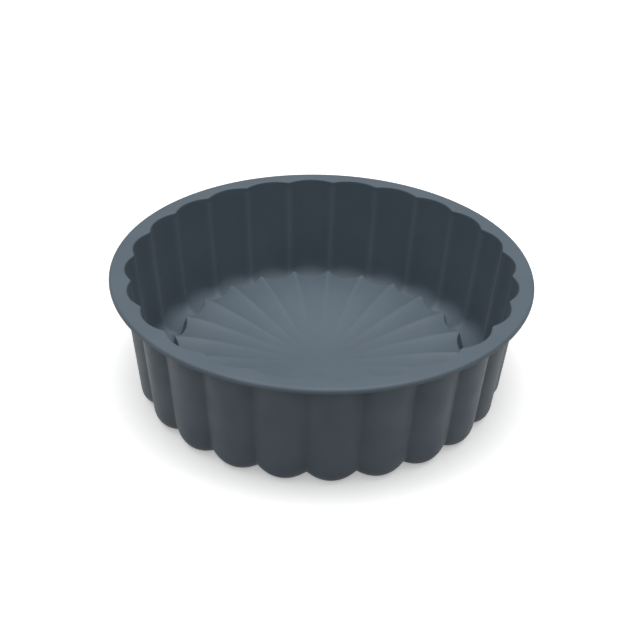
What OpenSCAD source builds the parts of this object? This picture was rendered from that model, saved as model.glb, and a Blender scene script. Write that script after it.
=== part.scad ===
// Deep fluted cake pan moulded in one piece of silicone rubber.
// The origin is on the pan's axis at the table, and +Z runs up through the open top.
// The moulding is drawn as six zones that meet face to face, so each can be looked at alone.

/* [Pan] */
// Diameter over the flat rim
rim_d = 236; // [220:1:260]
// Height from the table to the top of the rim
pan_h = 71; // [62:0.5:80]
// Thickness of the flat rim
rim_t = 2.8; // [2:0.1:4]
// Thickness of the moulded wall and bottom
wall_t = 1.5; // [1.2:0.1:2]

/* [Flutes] */
// Number of flutes round the wall
flutes = 24; // [22:1:26]
// Inside diameter at the rim, measured to the middle of the flutes
mouth_d = 218.6; // [214:0.2:222]
// Radius of each flute's curve, seen from above
flute_curve = 21.8; // [18:0.1:26]
// Angle that the wall leans outwards, in degrees
draft = 5; // [2:0.5:7]

/* [Finger ends] */
// Radius inside the corner where the middle of a flute turns into the bottom
flute_corner = 11.5; // [8:0.5:12]
// Radius outside the same corner, at the end of each finger
finger_corner = 8; // [7:0.5:9.5]
// Radius inside the corner where the ridge between two flutes turns into the bottom
ridge_corner = 6.5; // [5.5:0.5:7]
// How far the ridges stand above the bottom of the channel
ridge_h = 2.5; // [2.2:0.1:2.8]
// Radius outside the corner where the groove between two flutes turns under the pan
groove_corner = 9; // [8:0.5:10]
// How far the grooves stay above the table
groove_h = 2.6; // [2:0.1:2.8]
// How much is flattened off the bottom of each finger end, so that the pan stands firm
pad_cut = 0.4; // [0.2:0.1:0.6]
// Radius at the inner foot of the channel
foot_corner = 3.5; // [2.5:0.5:5]

/* [Raised centre] */
// Radius of the raised centre at its points
point_r = 85.9; // [84:0.1:87]
// Radius of the raised centre in the hollows between its points
hollow_r = 82; // [80:0.1:83]
// Height of the points above the table
point_h = 18; // [16:0.5:20]
// Height of the edge in the hollows above the table
hollow_edge_h = 15; // [13:0.5:16]
// Height of the dished middle above the table
middle_h = 6.6; // [4:0.1:14]
// Lean of the step round the raised centre, in degrees
step_lean = 17; // [10:1:20]

/* [Hidden] */
rim_under = pan_h - rim_t;      // underside of the flat rim
wall_foot = 16;                 // where the straight wall meets the rounded finger ends
step_foot = 6;                  // where the channel's floor meets the straight step
half = 180 / flutes;            // half a flute, in degrees
cuts = 8;                       // flat strips across one flute
sides = flutes * cuts;
arc_parts = 4;                  // straight parts in each rounded corner
pleat_start = 18;               // radius at which the pleats begin
pleat_rings = 5;                // bands between the edge and the start of the pleats
hollow_power = 2.6;             // over 2 makes the points sharper than a plain arc
pleat_fade = 1.8;               // over 1 makes the pleats grow shallow quickly, away from the edge

// Angle of a side from the middle of its flute, and of the side from +X
function off_middle(i) = ((i + cuts / 2) % cuts - cuts / 2) * 2 * half / cuts;
function around(i) = i * 360 / sides;

// Distance from the axis to a flute's curve whose middle is at apex, at an angle from that middle
function flute_r(apex, curve, a) =
    (apex - curve) * cos(a) + sqrt(pow(curve, 2) - pow((apex - curve) * sin(a), 2));
function apex_in(z) = mouth_d / 2 - (rim_under - z) * tan(draft);
function ridge_in(z) = flute_r(apex_in(z), flute_curve, half);
function apex_out(z) = apex_in(z) + wall_t / cos(draft);
function ridge_out(z) = flute_r(apex_out(z), flute_curve + wall_t, half);

// 1 in the middle of a flute and 0 on the ridge between two flutes
function fullness(a) =
    let (apex = apex_in(wall_foot), ridge = ridge_in(wall_foot))
    (flute_r(apex, flute_curve, a) - ridge) / (apex - ridge);
function hollowness(a) = 1 - pow(abs(a) / half, hollow_power);

// The step's straight side, seen in section: its upper face, and its underside
function step_in(top, z) = top[0] + (top[1] - z) * tan(step_lean);
function step_out(top, z) = step_in(top, z) - wall_t / cos(step_lean);
function step_lip(top) = [step_out(top, top[1] - wall_t), top[1] - wall_t];
point_top = [point_r, point_h];
hollow_top = [hollow_r, hollow_edge_h];

function arc(centre, r, from, to) =
    [for (k = [0:arc_parts]) let (a = from + (to - from) * k / arc_parts)
        centre + r * [cos(a), sin(a)]];

// Rounded corner between the wall and the bottom: wall radius at the corner's centre, corner
// radius, level of the bottom
function wall_corner(wall_r, corner, bottom) =
    arc([wall_r - corner / cos(draft), bottom + corner], corner, -draft, -90);
flute_in = wall_corner(apex_in(wall_t + flute_corner), flute_corner, wall_t);
ridge_bottom = wall_t + ridge_h;
ridge_in_line = wall_corner(ridge_in(ridge_bottom + ridge_corner), ridge_corner, ridge_bottom);
flute_under = wall_corner(apex_out(finger_corner), finger_corner, -pad_cut);
groove_under = wall_corner(ridge_out(groove_h + groove_corner), groove_corner, groove_h);

// Rounded corner between the bottom and the step: step radius at the corner's centre, corner
// radius, level of the bottom
function step_corner(step_r, corner, bottom) =
    arc([step_r + corner / cos(step_lean), bottom + corner], corner, -90, step_lean - 180);
under_foot = foot_corner + wall_t;
hollow_foot = step_corner(step_in(hollow_top, wall_t + foot_corner), foot_corner, wall_t);
point_foot = step_corner(step_in(point_top, ridge_bottom + foot_corner), foot_corner, ridge_bottom);
hollow_foot_under = step_corner(step_out(hollow_top, under_foot), under_foot, -pad_cut);
point_foot_under = step_corner(step_out(point_top, groove_h + under_foot), under_foot, groove_h);

function blend(a, b, t) = a + (b - a) * t;
function blend_line(a, b, t) = [for (k = [0:len(a) - 1]) blend(a[k], b[k], t)];
function backwards(line) = [for (k = [len(line) - 1:-1:0]) line[k]];
function grounded(line) = [for (p = line) [p[0], max(0, p[1])]];
function place(i, p) = [p[0] * cos(around(i)), p[0] * sin(around(i)), p[1]];

// Closed skin through sections that go once round the axis. Turned swaps the diagonal of each
// four-sided patch, so that two neighbours share the same triangles where they meet.
module ring_shell(sections, turned = false) {
    m = len(sections[0]);
    polyhedron(
        points = [for (i = [0:sides - 1]) for (p = sections[i]) place(i, p)],
        faces = [for (i = [0:sides - 1]) for (k = [0:m - 1])
            let (i2 = (i + 1) % sides, k2 = (k + 1) % m, a = i * m + k, b = i * m + k2,
                 c = i2 * m + k2, d = i2 * m + k)
            each turned ? [[a, b, d], [b, c, d]] : [[a, b, c], [a, c, d]]]);
}

module rim_flange() {
    color("#66717a")
    translate([0, 0, rim_under]) linear_extrude(rim_t) difference() {
        circle(r = rim_d / 2, $fn = 180);
        circle(r = flute_r(mouth_d / 2, flute_curve, half) - 0.01, $fn = 180);
        for (k = [0:flutes - 1]) rotate(k * 2 * half)
            translate([mouth_d / 2 - flute_curve, 0]) circle(r = flute_curve, $fn = 90);
    }
}

module fluted_wall() {
    color("#4c5863")
    ring_shell([for (i = [0:sides - 1]) let (a = off_middle(i)) [
        [flute_r(apex_in(rim_under), flute_curve, a), rim_under],
        [flute_r(apex_in(wall_foot), flute_curve, a), wall_foot],
        [flute_r(apex_out(wall_foot), flute_curve + wall_t, a), wall_foot],
        [flute_r(apex_out(rim_under), flute_curve + wall_t, a), rim_under]]]);
}

module finger_ends() {
    color("#56626d")
    ring_shell([for (i = [0:sides - 1]) let (a = off_middle(i), t = fullness(a)) concat(
        [[flute_r(apex_in(wall_foot), flute_curve, a), wall_foot]],
        blend_line(ridge_in_line, flute_in, t),
        backwards(grounded(blend_line(groove_under, flute_under, t))),
        [[flute_r(apex_out(wall_foot), flute_curve + wall_t, a), wall_foot]])]);
}

module channel_floor() {
    color("#5d6973")
    ring_shell([for (i = [0:sides - 1])
        let (a = off_middle(i), t = fullness(a), h = hollowness(a),
             top = blend(point_top, hollow_top, h)) concat(
        [blend(ridge_in_line[arc_parts], flute_in[arc_parts], t)],
        blend_line(point_foot, hollow_foot, h),
        [[step_in(top, step_foot), step_foot], [step_out(top, step_foot), step_foot]],
        backwards(grounded(blend_line(point_foot_under, hollow_foot_under, h))),
        grounded([blend(groove_under[arc_parts], flute_under[arc_parts], t)]))],
        turned = true);
}

module centre_step() {
    color("#4c5863")
    ring_shell([for (i = [0:sides - 1])
        let (top = blend(point_top, hollow_top, hollowness(off_middle(i)))) [
        [step_in(top, step_foot), step_foot], top, step_lip(top),
        [step_out(top, step_foot), step_foot]]]);
}

// Height of the dished centre at a fraction of the way out to the edge: level in the middle and at
// the edge and steepest half way, less the depth of the pleats
function dish_h(edge_h, q) =
    middle_h + (point_h - middle_h) * q * q * (3 - 2 * q) - (point_h - edge_h) * pow(q, pleat_fade);

module pleated_centre() {
    upper = [for (j = [0:pleat_rings]) for (i = [0:sides - 1])
        let (top = blend(point_top, hollow_top, hollowness(off_middle(i))),
             r = blend(top[0], pleat_start, j / pleat_rings))
        place(i, [r, dish_h(top[1], r / top[0])])];
    lower = [for (j = [0:pleat_rings]) for (i = [0:sides - 1])
        let (top = blend(point_top, hollow_top, hollowness(off_middle(i))),
             lip = step_lip(top), r = blend(lip[0], pleat_start, j / pleat_rings))
        place(i, [r, dish_h(top[1], r / lip[0]) - wall_t])];
    rows = pleat_rings + 1;
    low = rows * sides;
    top_middle = 2 * rows * sides;
    low_middle = top_middle + 1;
    color("#6b7680")
    polyhedron(
        points = concat(upper, lower, [[0, 0, middle_h], [0, 0, middle_h - wall_t]]),
        faces = concat(
            [for (j = [0:pleat_rings - 1]) for (i = [0:sides - 1])
                let (i2 = (i + 1) % sides, a = j * sides + i, b = j * sides + i2,
                     c = a + sides, d = b + sides)
                each [[a, c, d], [a, d, b], [low + a, low + d, low + c], [low + a, low + b, low + d]]],
            [for (i = [0:sides - 1])
                let (i2 = (i + 1) % sides, a = pleat_rings * sides + i, b = pleat_rings * sides + i2)
                each [[a, top_middle, b], [low + a, low + b, low_middle]]],
            [for (i = [0:sides - 1]) let (i2 = (i + 1) % sides)
                each [[i, i2, low + i2], [i, low + i2, low + i]]]));
}

rim_flange();
fluted_wall();
finger_ends();
channel_floor();
centre_step();
pleated_centre();
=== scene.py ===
# A deep fluted cake pan in matt silicone rubber, on a pale studio floor.
import math

import bmesh
import bpy
from mathutils import Matrix, Vector


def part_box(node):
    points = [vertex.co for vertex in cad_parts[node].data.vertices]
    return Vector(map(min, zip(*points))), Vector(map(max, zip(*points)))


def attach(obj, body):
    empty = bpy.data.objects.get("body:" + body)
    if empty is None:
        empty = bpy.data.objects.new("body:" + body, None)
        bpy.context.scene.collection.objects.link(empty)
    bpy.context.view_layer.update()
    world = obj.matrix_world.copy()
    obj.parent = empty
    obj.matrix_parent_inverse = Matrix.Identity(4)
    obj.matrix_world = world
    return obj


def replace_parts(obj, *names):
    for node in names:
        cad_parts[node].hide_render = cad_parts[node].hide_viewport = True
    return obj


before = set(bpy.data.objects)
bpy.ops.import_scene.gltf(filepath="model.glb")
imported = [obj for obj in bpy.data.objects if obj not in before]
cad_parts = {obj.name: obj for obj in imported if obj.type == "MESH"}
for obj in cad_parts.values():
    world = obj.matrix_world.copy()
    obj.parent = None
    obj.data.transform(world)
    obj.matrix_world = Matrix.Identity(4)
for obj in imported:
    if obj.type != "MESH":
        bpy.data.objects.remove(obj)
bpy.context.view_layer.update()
scene = bpy.context.scene
millimetre = 0.001

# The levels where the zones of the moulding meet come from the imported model, in millimetres
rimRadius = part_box("rim_flange")[1].x / millimetre
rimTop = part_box("rim_flange")[1].z / millimetre
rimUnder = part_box("rim_flange")[0].z / millimetre
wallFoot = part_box("fluted_wall")[0].z / millimetre
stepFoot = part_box("centre_step")[0].z / millimetre

view = {
    "distance": 5.39,       # from the middle of the rim, in rim radii
    "elevation": 32.82,     # degrees above the rim
    "azimuth": -4.7,        # degrees round the pan from its -Y side, and minus is towards -X
    "roll": 1.73,           # degrees that the camera is held askew
    "across": 0.010,        # how far the rim's middle lies right of the view axis, in rim radii
    "above": 0.261,         # and above it
    "lens": 63.9,           # mm
    "sensor": 36,           # mm
}


def addCamera():
    turn = (Matrix.Rotation(math.radians(view["azimuth"]), 3, "Z")
            @ Matrix.Rotation(math.radians(90 - view["elevation"]), 3, "X")
            @ Matrix.Rotation(math.radians(view["roll"]), 3, "Z"))
    radius = rimRadius * millimetre
    fromRim = turn @ Vector((-view["across"], -view["above"], view["distance"])) * radius
    data = bpy.data.cameras.new("studioCamera")
    data.lens = view["lens"]
    data.sensor_width = view["sensor"]
    camera = bpy.data.objects.new("studioCamera", data)
    camera.matrix_world = Matrix.Translation(
        fromRim + Vector((0, 0, rimTop * millimetre))) @ turn.to_4x4()
    scene.collection.objects.link(camera)
    scene.camera = camera


addCamera()
print("camera set")


# The standard sRGB curve
def toLinear(hexColour):
    values = [int(hexColour[i:i + 2], 16) / 255 for i in (1, 3, 5)]
    return [v / 12.92 if v <= 0.04045 else ((v + 0.055) / 1.055) ** 2.4 for v in values] + [1]


# settings are the node's own properties and its input values, and links are input: socket
def addNode(tree, kind, settings=None, links=None):
    node = tree.nodes.new(kind)
    for name, value in (settings or {}).items():
        if name in node.inputs.keys():
            node.inputs[name].default_value = value
        else:
            setattr(node, name, value)
    for name, socket in (links or {}).items():
        tree.links.new(socket, node.inputs[name])
    return node


def newMaterial(name):
    material = bpy.data.materials.new(name)
    material.use_nodes = True
    tree = material.node_tree
    tree.nodes.clear()
    return material, tree


silicone = {
    "colour": "#5e6b75",
    "deepColour": "#5a6771",    # where the pigment is a little denser
    "cloudSize": 38.0,      # mm, slow drift of the pigment
    "cloudRange": (0.35, 0.65),     # noise values where it is densest and thinnest
    "roughness": (0.50, 0.60),
    "blushSize": 14.0,      # mm, patches where the mould was polished more or less
    "blushRange": (0.3, 0.7),       # noise values that give the lowest and highest roughness
    "grainSize": 0.9,       # mm; the real grain of about 0.1 mm wouldn't show, so it's drawn coarser
    "grainDepth": 0.012,    # mm
    "waveSize": 26.0,       # mm, the slight unevenness of a soft moulding
    "waveDepth": 0.05,      # mm
    "ior": 1.41,
    "sheen": 0.06,
    "sheenRoughness": 0.4,
}


# Silicone rubber, pigmented slate grey and pressed in a finely blasted steel mould
def mouldedSilicone():
    material, tree = newMaterial("mouldedSilicone")
    place = addNode(tree, "ShaderNodeTexCoord").outputs["Object"]

    # Four patterns, each scaled from its real size, with its number of finer layers
    pattern = {}
    for name, detail in (("cloud", 3.0), ("blush", 2.0), ("wave", 1.0), ("grain", 4.0)):
        scale = 1 / (silicone[name + "Size"] * millimetre)
        pattern[name] = addNode(tree, "ShaderNodeTexNoise", {"Scale": scale, "Detail": detail},
                                {"Vector": place}).outputs["Fac"]
    # Pigment that isn't mixed perfectly gives the eye a surface that is never one flat grey
    colour = addNode(tree, "ShaderNodeValToRGB", links={"Fac": pattern["cloud"]})
    for stop, position, value in zip(colour.color_ramp.elements, silicone["cloudRange"],
                                     (silicone["deepColour"], silicone["colour"])):
        stop.position = position
        stop.color = toLinear(value)
    # Painted light and shade: the colour is scaled up on the ridges as a painted highlight and down in
    # the grooves as painted shade
    paintedShading = addNode(tree, "ShaderNodeAttribute", {"attribute_name": "paintedShading"})
    share = addNode(tree, "ShaderNodeMath", {"operation": "ADD"}, {0: paintedShading.outputs["Fac"]})
    share.inputs[1].default_value = 1
    withPaintedShading = addNode(tree, "ShaderNodeVectorMath", {"operation": "SCALE"},
                     {"Vector": colour.outputs["Color"], "Scale": share.outputs["Value"]})
    # Uneven blasting of the mould makes the soft highlights tighten and spread
    fromMin, fromMax = silicone["blushRange"]
    toMin, toMax = silicone["roughness"]
    roughness = addNode(tree, "ShaderNodeMapRange", {
        "From Min": fromMin, "From Max": fromMax, "To Min": toMin, "To Max": toMax,
    }, {"Value": pattern["blush"]})
    # A soft moulding is never quite true, so the highlights bend a little
    waves = addNode(tree, "ShaderNodeBump", {
        "Strength": 1.0, "Distance": silicone["waveDepth"] * millimetre,
    }, {"Height": pattern["wave"]})
    # The blasted grain takes the shine off
    grain = addNode(tree, "ShaderNodeBump", {
        "Strength": 1.0, "Distance": silicone["grainDepth"] * millimetre,
    }, {"Height": pattern["grain"], "Normal": waves.outputs["Normal"]})
    shader = addNode(tree, "ShaderNodeBsdfPrincipled", {
        "IOR": silicone["ior"],
        "Sheen Weight": silicone["sheen"],
        "Sheen Roughness": silicone["sheenRoughness"],
    }, {
        "Base Color": withPaintedShading.outputs["Vector"],
        "Roughness": roughness.outputs["Result"],
        "Normal": grain.outputs["Normal"],
    })
    addNode(tree, "ShaderNodeOutputMaterial", links={"Surface": shader.outputs["BSDF"]})
    return material


siliconeMaterial = mouldedSilicone()

# Lengths and radii in mm
pan = {
    "flutes": 24,
    "mouth": 109.3,         # radius inside the middle of a flute, level with the rim's underside
    "fluteCurve": 21.8,     # radius of a flute's curve in plan
    "draft": 5.0,           # degrees that the wall leans out
    "wall": 1.5,            # thickness of the moulding
    "fluteCorner": 11.5,    # radius where a flute turns into the bottom, inside
    "fingerCorner": 8.0,    # and outside
    "ridgeCorner": 6.5,     # radius where a ridge turns into the bottom, inside
    "ridgeHeight": 2.5,     # of the ridges above the bottom of the channel
    "grooveCorner": 9.0,    # radius where a groove turns under the pan, outside
    "grooveHeight": 2.6,    # of the grooves above the table
    "padCut": 0.4,          # flattened off the bottom of each finger end
    "footCorner": 3.5,      # radius where the channel meets the step
    "stepLean": 17.0,       # degrees
    "point": (85.9, 18.0),  # radius and height of a point of the raised centre
    "hollow": (82.0, 15.0),     # and of a hollow between two points
    "stepEdge": 0.4,        # rounding of the edge of the raised centre
    "lip": 0.8,             # how far below that edge the step gives way to the raised centre
    "middle": 6.6,          # height of the dished middle
    "hollowPower": 2.6,     # over 2 makes the points sharper than a plain arc
    "pleatFade": 1.8,       # over 1 makes the pleats grow shallow quickly, away from the edge
    "ridgeSoftness": 0.55,  # degrees round a ridge that are rounded off, inside
    "grooveSoftness": 0.25,     # and round a groove, outside
    "ridgePaintedLight": (0.2, 2.0),     # how much paler the ridges are painted, as a painted highlight, and over how many mm
    "groovePaintedShade": (-0.2, 3.6),   # how much darker the grooves are painted, as painted shade
    "paintedShadingFrom": (24.0, 84.0),     # radii where the painted highlight and shade begin and where they are full
    "centrePaintedShading": 0.4,       # share of the painted highlight and shade on the pleats of the raised centre
    "columns": 24,          # strips across a flute
    "crowding": 0.35,       # how much the strips crowd towards the ridges
    "wallRows": 6,          # strips up the wall
    "rings": 20,            # strips from the edge of the raised centre to its middle
    "arcParts": 10,         # straight parts in each rounded corner
    "sharpAngle": 50.0,     # degrees between two faces that show as an edge
    "weld": 0.001,          # points nearer to each other than this are one point
}
half = 180 / pan["flutes"]
slope = math.tan(math.radians(pan["draft"]))
lean = math.radians(pan["stepLean"])
wall = pan["wall"]


# Distance from the axis to a flute's curve, at an angle from the middle of the flute
def planRadius(apex, curve, degrees):
    a = math.radians(degrees)
    return (apex - curve) * math.cos(a) + math.sqrt(curve ** 2 - ((apex - curve) * math.sin(a)) ** 2)


# Distance from the axis to the wall at a height: in the middle of a flute, and on a ridge
def apexIn(z):
    return pan["mouth"] - (rimUnder - z) * slope


def apexOut(z):
    return apexIn(z) + wall / math.cos(math.radians(pan["draft"]))


def ridgeIn(z):
    return planRadius(apexIn(z), pan["fluteCurve"], half)


def ridgeOut(z):
    return planRadius(apexOut(z), pan["fluteCurve"] + wall, half)


# Two laws from 0 on a ridge to 1 in the middle of a flute: the wall's and the raised centre's
def fullness(degrees):
    apex, ridge = apexIn(wallFoot), ridgeIn(wallFoot)
    return (planRadius(apex, pan["fluteCurve"], degrees) - ridge) / (apex - ridge)


def hollowness(degrees):
    return 1 - (abs(degrees) / half) ** pan["hollowPower"]


# An angle from the middle of a flute that never quite reaches the ridge, which rounds it off
def softened(degrees, softness):
    return half - math.hypot(half - abs(degrees), softness)


# Distance from the axis to the leaning step at a height, for the radius and height of its top
def stepIn(top, z):
    return top[0] + (top[1] - z) * math.tan(lean)


def stepOut(top, z):
    return stepIn(top, z) - wall / math.cos(lean)


# A path of (radius, height) points through corners, each with its own rounding
def rounded(corners):
    path = []
    for i, (r, z, rounding) in enumerate(corners):
        here = Vector((r, z))
        if not rounding:
            path.append(here)
            continue
        back = (Vector(corners[i - 1][:2]) - here).normalized()
        on = (Vector(corners[i + 1][:2]) - here).normalized()
        halfAngle = back.angle(on) / 2
        centre = here + (back + on).normalized() * rounding / math.sin(halfAngle)
        start = here + back * rounding / math.tan(halfAngle) - centre
        end = here + on * rounding / math.tan(halfAngle) - centre
        for k in range(pan["arcParts"] + 1):
            path.append(centre + rounding * start.slerp(end, k / pan["arcParts"]))
    return path


# From the wall's foot round the corner, along the bottom, and up round the foot of the step
def bottomPath(wallAt, corner, level, stepAt, top, foot):
    return rounded([
        (wallAt(wallFoot), wallFoot, 0),
        (wallAt(level), level, corner),
        (stepAt(top, level), level, foot),
        (stepAt(top, stepFoot), stepFoot, 0)])


# A section's stations, of which a number at the end lie outside, where the ridges are grooves
def stations(ridgePath, flutePath, law, outside=0):
    count = len(ridgePath)
    return [(ridgePath[i], flutePath[i], law, i >= count - outside) for i in range(count)]


# From 0 to 1 between the radii where the painted highlight and shade begin and where they are full
def paintedShadingShare(r):
    start, full = pan["paintedShadingFrom"]
    return min(1, max(0, (r - start) / (full - start)))


# Spins a section, given at a ridge and in the middle of a flute, into a full ring
def mould(name, loop, withPaintedShading=1.0):
    bm = bmesh.new()
    station = bm.verts.layers.int.new("station")
    # Painted light and shade per point: above 0 paints a ridge paler, below 0 paints a groove darker
    paintedShading = bm.verts.layers.float.new("paintedShading")
    startAngle = Matrix.Rotation(math.radians(-half), 3, "Z")
    chain = []
    for i, (_, flute, _, _) in enumerate(loop):
        vert = bm.verts.new(startAngle @ Vector((flute.x, 0, flute.y)))
        vert[station] = i
        chain.append(vert)
    for a, b in zip(chain, chain[1:] + chain[:1]):
        bm.edges.new((a, b))
    bmesh.ops.spin(bm, geom=bm.verts[:] + bm.edges[:], cent=(0, 0, 0), axis=(0, 0, 1),
                   angle=math.radians(2 * half), steps=pan["columns"])
    for vert in bm.verts:
        ridge, flute, law, outside = loop[vert[station]]
        if vert.co.to_2d().length < pan["weld"]:
            continue    # on the axis
        s = math.degrees(math.atan2(vert.co.y, vert.co.x)) / half
        degrees = half * s * (1 + pan["crowding"] * (1 - s * s))
        share = law(softened(degrees, pan["grooveSoftness"] if outside else pan["ridgeSoftness"]))
        r, z = ridge.lerp(flute, share)
        a = math.radians(degrees)
        vert.co = (r * math.cos(a), r * math.sin(a), max(0, z))
        # Painted highlight along the ridges inside and painted shade along the grooves outside, fading
        # away from them
        amount, width = pan["groovePaintedShade"] if outside else pan["ridgePaintedLight"]
        fromRidge = r * math.radians(half - abs(degrees))
        vert[paintedShading] = withPaintedShading * amount * math.exp(-(fromRidge / width) ** 2) * paintedShadingShare(r)
    bmesh.ops.spin(bm, geom=bm.verts[:] + bm.edges[:] + bm.faces[:], cent=(0, 0, 0),
                   axis=(0, 0, 1), angle=math.radians(360 - 2 * half),
                   steps=pan["flutes"] - 1, use_duplicate=True)
    bmesh.ops.remove_doubles(bm, verts=bm.verts[:], dist=pan["weld"])
    bmesh.ops.recalc_face_normals(bm, faces=bm.faces[:])
    bmesh.ops.scale(bm, vec=(millimetre,) * 3, verts=bm.verts[:])
    mesh = bpy.data.meshes.new(name)
    bm.to_mesh(mesh)
    bm.free()
    mesh.shade_smooth()
    mesh.set_sharp_from_angle(angle=math.radians(pan["sharpAngle"]))
    piece = bpy.data.objects.new(name, mesh)
    mesh.materials.append(siliconeMaterial)
    scene.collection.objects.link(piece)
    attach(piece, "root")
    print(name, len(mesh.polygons), "faces")
    return piece


# Roundings in mm
rim = {
    "innerEdge": 0.9,       # of the scalloped edge
    "outerEdge": 1.9,       # of the outer edge, above
    "underEdge": 0.5,       # and below
    "flare": 2.4,           # between the wall and the underside of the rim
}


def rimPath(inside, outside):
    return rounded([
        (inside(rimUnder), rimUnder, 0),
        (inside(rimTop), rimTop, rim["innerEdge"]),
        (rimRadius, rimTop, rim["outerEdge"]),
        (rimRadius, rimUnder, rim["underEdge"]),
        (outside(rimUnder) + rim["flare"], rimUnder, 0)])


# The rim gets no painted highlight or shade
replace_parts(mould("rimFlange", stations(
    rimPath(ridgeIn, ridgeOut), rimPath(apexIn, apexOut), fullness, 1), withPaintedShading=0), "rim_flange")


def wallPath(inside, outside):
    rows = pan["wallRows"]
    levels = [rimUnder + (wallFoot - rimUnder) * k / rows for k in range(rows + 1)]
    return rounded([(inside(z), z, 0) for z in levels] + [
        (outside(wallFoot), wallFoot, 0),
        (outside(rimUnder), rimUnder, rim["flare"]),
        (outside(rimUnder) + rim["flare"], rimUnder, 0)])


outerCount = pan["arcParts"] + 3     # stations outside, from the wall's foot to the end of the flare
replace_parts(mould("flutedWall", stations(
    wallPath(ridgeIn, ridgeOut), wallPath(apexIn, apexOut), fullness, outerCount)), "fluted_wall")

ridgeLevel = wall + pan["ridgeHeight"]
foot, underFoot = pan["footCorner"], pan["footCorner"] + wall
insideRidge = bottomPath(ridgeIn, pan["ridgeCorner"], ridgeLevel, stepIn, pan["point"], foot)
insideFlute = bottomPath(apexIn, pan["fluteCorner"], wall, stepIn, pan["hollow"], foot)
underRidge = bottomPath(ridgeOut, pan["grooveCorner"], pan["grooveHeight"], stepOut,
                        pan["point"], underFoot)
underFlute = bottomPath(apexOut, pan["fingerCorner"], -pan["padCut"], stepOut,
                        pan["hollow"], underFoot)
cornerEnd = pan["arcParts"] + 2      # stations of the wall's corner

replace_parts(mould("fingerEnds", stations(
    insideRidge[:cornerEnd] + underRidge[cornerEnd - 1::-1],
    insideFlute[:cornerEnd] + underFlute[cornerEnd - 1::-1], fullness, cornerEnd)), "finger_ends")

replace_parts(mould("channelFloor", (
    stations(insideRidge[cornerEnd - 1:cornerEnd], insideFlute[cornerEnd - 1:cornerEnd], fullness)
    + stations(insideRidge[cornerEnd:] + underRidge[:cornerEnd - 1:-1],
               insideFlute[cornerEnd:] + underFlute[:cornerEnd - 1:-1], hollowness)
    + stations(underRidge[cornerEnd - 1:cornerEnd], underFlute[cornerEnd - 1:cornerEnd], fullness, 1))),
    "channel_floor")


def stepPath(top):
    lip, underLip = top[1] - pan["lip"], top[1] - pan["lip"] - wall
    return [Vector((stepIn(top, stepFoot), stepFoot)), Vector((stepIn(top, lip), lip)),
            Vector((stepOut(top, underLip), underLip)), Vector((stepOut(top, stepFoot), stepFoot))]


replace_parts(mould("centreStep", stations(
    stepPath(pan["point"]), stepPath(pan["hollow"]), hollowness)), "centre_step")


# Height of the dished centre: level in the middle and at the edge and steepest half way, less the
# depth of the pleats
def dishHeight(top, r):
    q = r / top[0]
    pointHeight = pan["point"][1]
    return (pan["middle"] + (pointHeight - pan["middle"]) * q * q * (3 - 2 * q)
            - (pointHeight - top[1]) * q ** pan["pleatFade"])


def centrePath(top):
    lip, underLip = top[1] - pan["lip"], top[1] - pan["lip"] - wall
    radii = [top[0] * (1 - k / pan["rings"]) for k in range(1, pan["rings"] + 1)]
    upper = rounded([(stepIn(top, lip), lip, 0), (top[0], top[1], pan["stepEdge"]),
                     (radii[0], dishHeight(top, radii[0]), 0)])
    upper += [Vector((r, dishHeight(top, r))) for r in radii[1:]]
    lower = [Vector((r, dishHeight(top, r) - wall)) for r in reversed(radii)]
    return upper + lower + [Vector((stepOut(top, underLip), underLip))]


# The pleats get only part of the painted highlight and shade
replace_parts(mould("pleatedCentre", stations(
    centrePath(pan["point"]), centrePath(pan["hollow"]), hollowness),
    withPaintedShading=pan["centrePaintedShading"]), "pleated_centre")

studio = {
    "floorColour": "#fbfbfb",
    "floorSize": 6.0,       # m, from the middle to each side
    "floorDrop": 0.5,       # mm below the pan, so that the two never share a plane
    "floorRoughness": 0.9,
    "floorGlow": 0.35,      # light that comes up through the floor, as from a light table
    "overhead": 0.95,       # W/m2, as for the other lights
    "overheadSpread": 26.0,     # degrees, as wide as a softbox close above
    "side": 0.36,           # the two lights at the sides, which bring out the flutes
    "sideSpread": 30.0,
    "sideTilt": 22.0,       # degrees from straight overhead
    "front": 0.21,          # a weak light above the camera, which reaches the far wall
    "frontTilt": 42.0,
    "zenith": 0.68,         # brightness of the white surroundings overhead
    "horizon": 0.07,        # and low down
    "skyFade": (0.3, 0.75),     # heights between which the one turns into the other, overhead is 1
}


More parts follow.
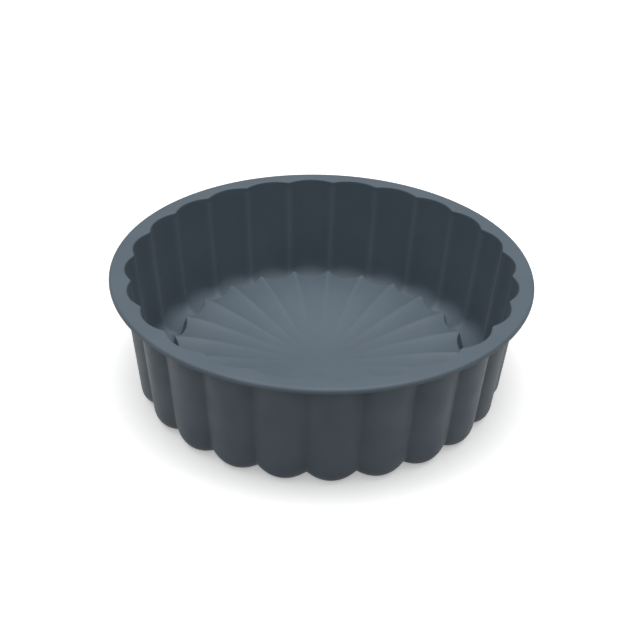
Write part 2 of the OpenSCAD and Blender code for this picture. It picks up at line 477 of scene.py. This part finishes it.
def addFloor():
    material, tree = newMaterial("paleFloor")
    shader = addNode(tree, "ShaderNodeBsdfPrincipled", {
        "Base Color": toLinear(studio["floorColour"]), "Roughness": studio["floorRoughness"],
        "Emission Color": (1, 1, 1, 1), "Emission Strength": studio["floorGlow"]})
    addNode(tree, "ShaderNodeOutputMaterial", links={"Surface": shader.outputs["BSDF"]})
    bm = bmesh.new()
    bmesh.ops.create_grid(bm, x_segments=1, y_segments=1, size=studio["floorSize"])
    mesh = bpy.data.meshes.new("studioFloor")
    bm.to_mesh(mesh)
    bm.free()
    floor = bpy.data.objects.new("studioFloor", mesh)
    mesh.materials.append(material)
    scene.collection.objects.link(floor)
    floor.location.z = -studio["floorDrop"] * millimetre
    floor.visible_diffuse = False


def addLight(name, power, spread, tilt, azimuth=0):
    data = bpy.data.lights.new(name, "SUN")
    data.angle = math.radians(spread)
    data.energy = power
    light = bpy.data.objects.new(name, data)
    light.rotation_euler = (math.radians(tilt), 0, math.radians(azimuth))
    light.location = (0, 0, 1)      # clear of the pan; a sun lights alike from anywhere
    scene.collection.objects.link(light)


addFloor()
addLight("overheadLight", studio["overhead"], studio["overheadSpread"], 0)
addLight("frontLight", studio["front"], studio["sideSpread"], studio["frontTilt"], view["azimuth"])
for side, azimuth in (("leftLight", -90), ("rightLight", 90)):
    addLight(side, studio["side"], studio["sideSpread"], studio["sideTilt"], azimuth + view["azimuth"])


def addWorld():
    world = bpy.data.worlds.new("studioWorld")
    world.use_nodes = True
    tree = world.node_tree
    tree.nodes.clear()
    place = addNode(tree, "ShaderNodeTexCoord")
    direction = addNode(tree, "ShaderNodeSeparateXYZ", links={"Vector": place.outputs["Generated"]})
    low, high = studio["skyFade"]
    brightness = addNode(tree, "ShaderNodeMapRange", {
        "From Min": low, "From Max": high, "To Min": studio["horizon"], "To Max": studio["zenith"],
    }, {"Value": direction.outputs["Z"]})
    background = addNode(tree, "ShaderNodeBackground", {"Color": (1, 1, 1, 1)},
                         {"Strength": brightness.outputs["Result"]})
    addNode(tree, "ShaderNodeOutputWorld", links={"Surface": background.outputs["Background"]})
    scene.world = world


addWorld()
scene.view_settings.view_transform = "Standard"
print("studio set")
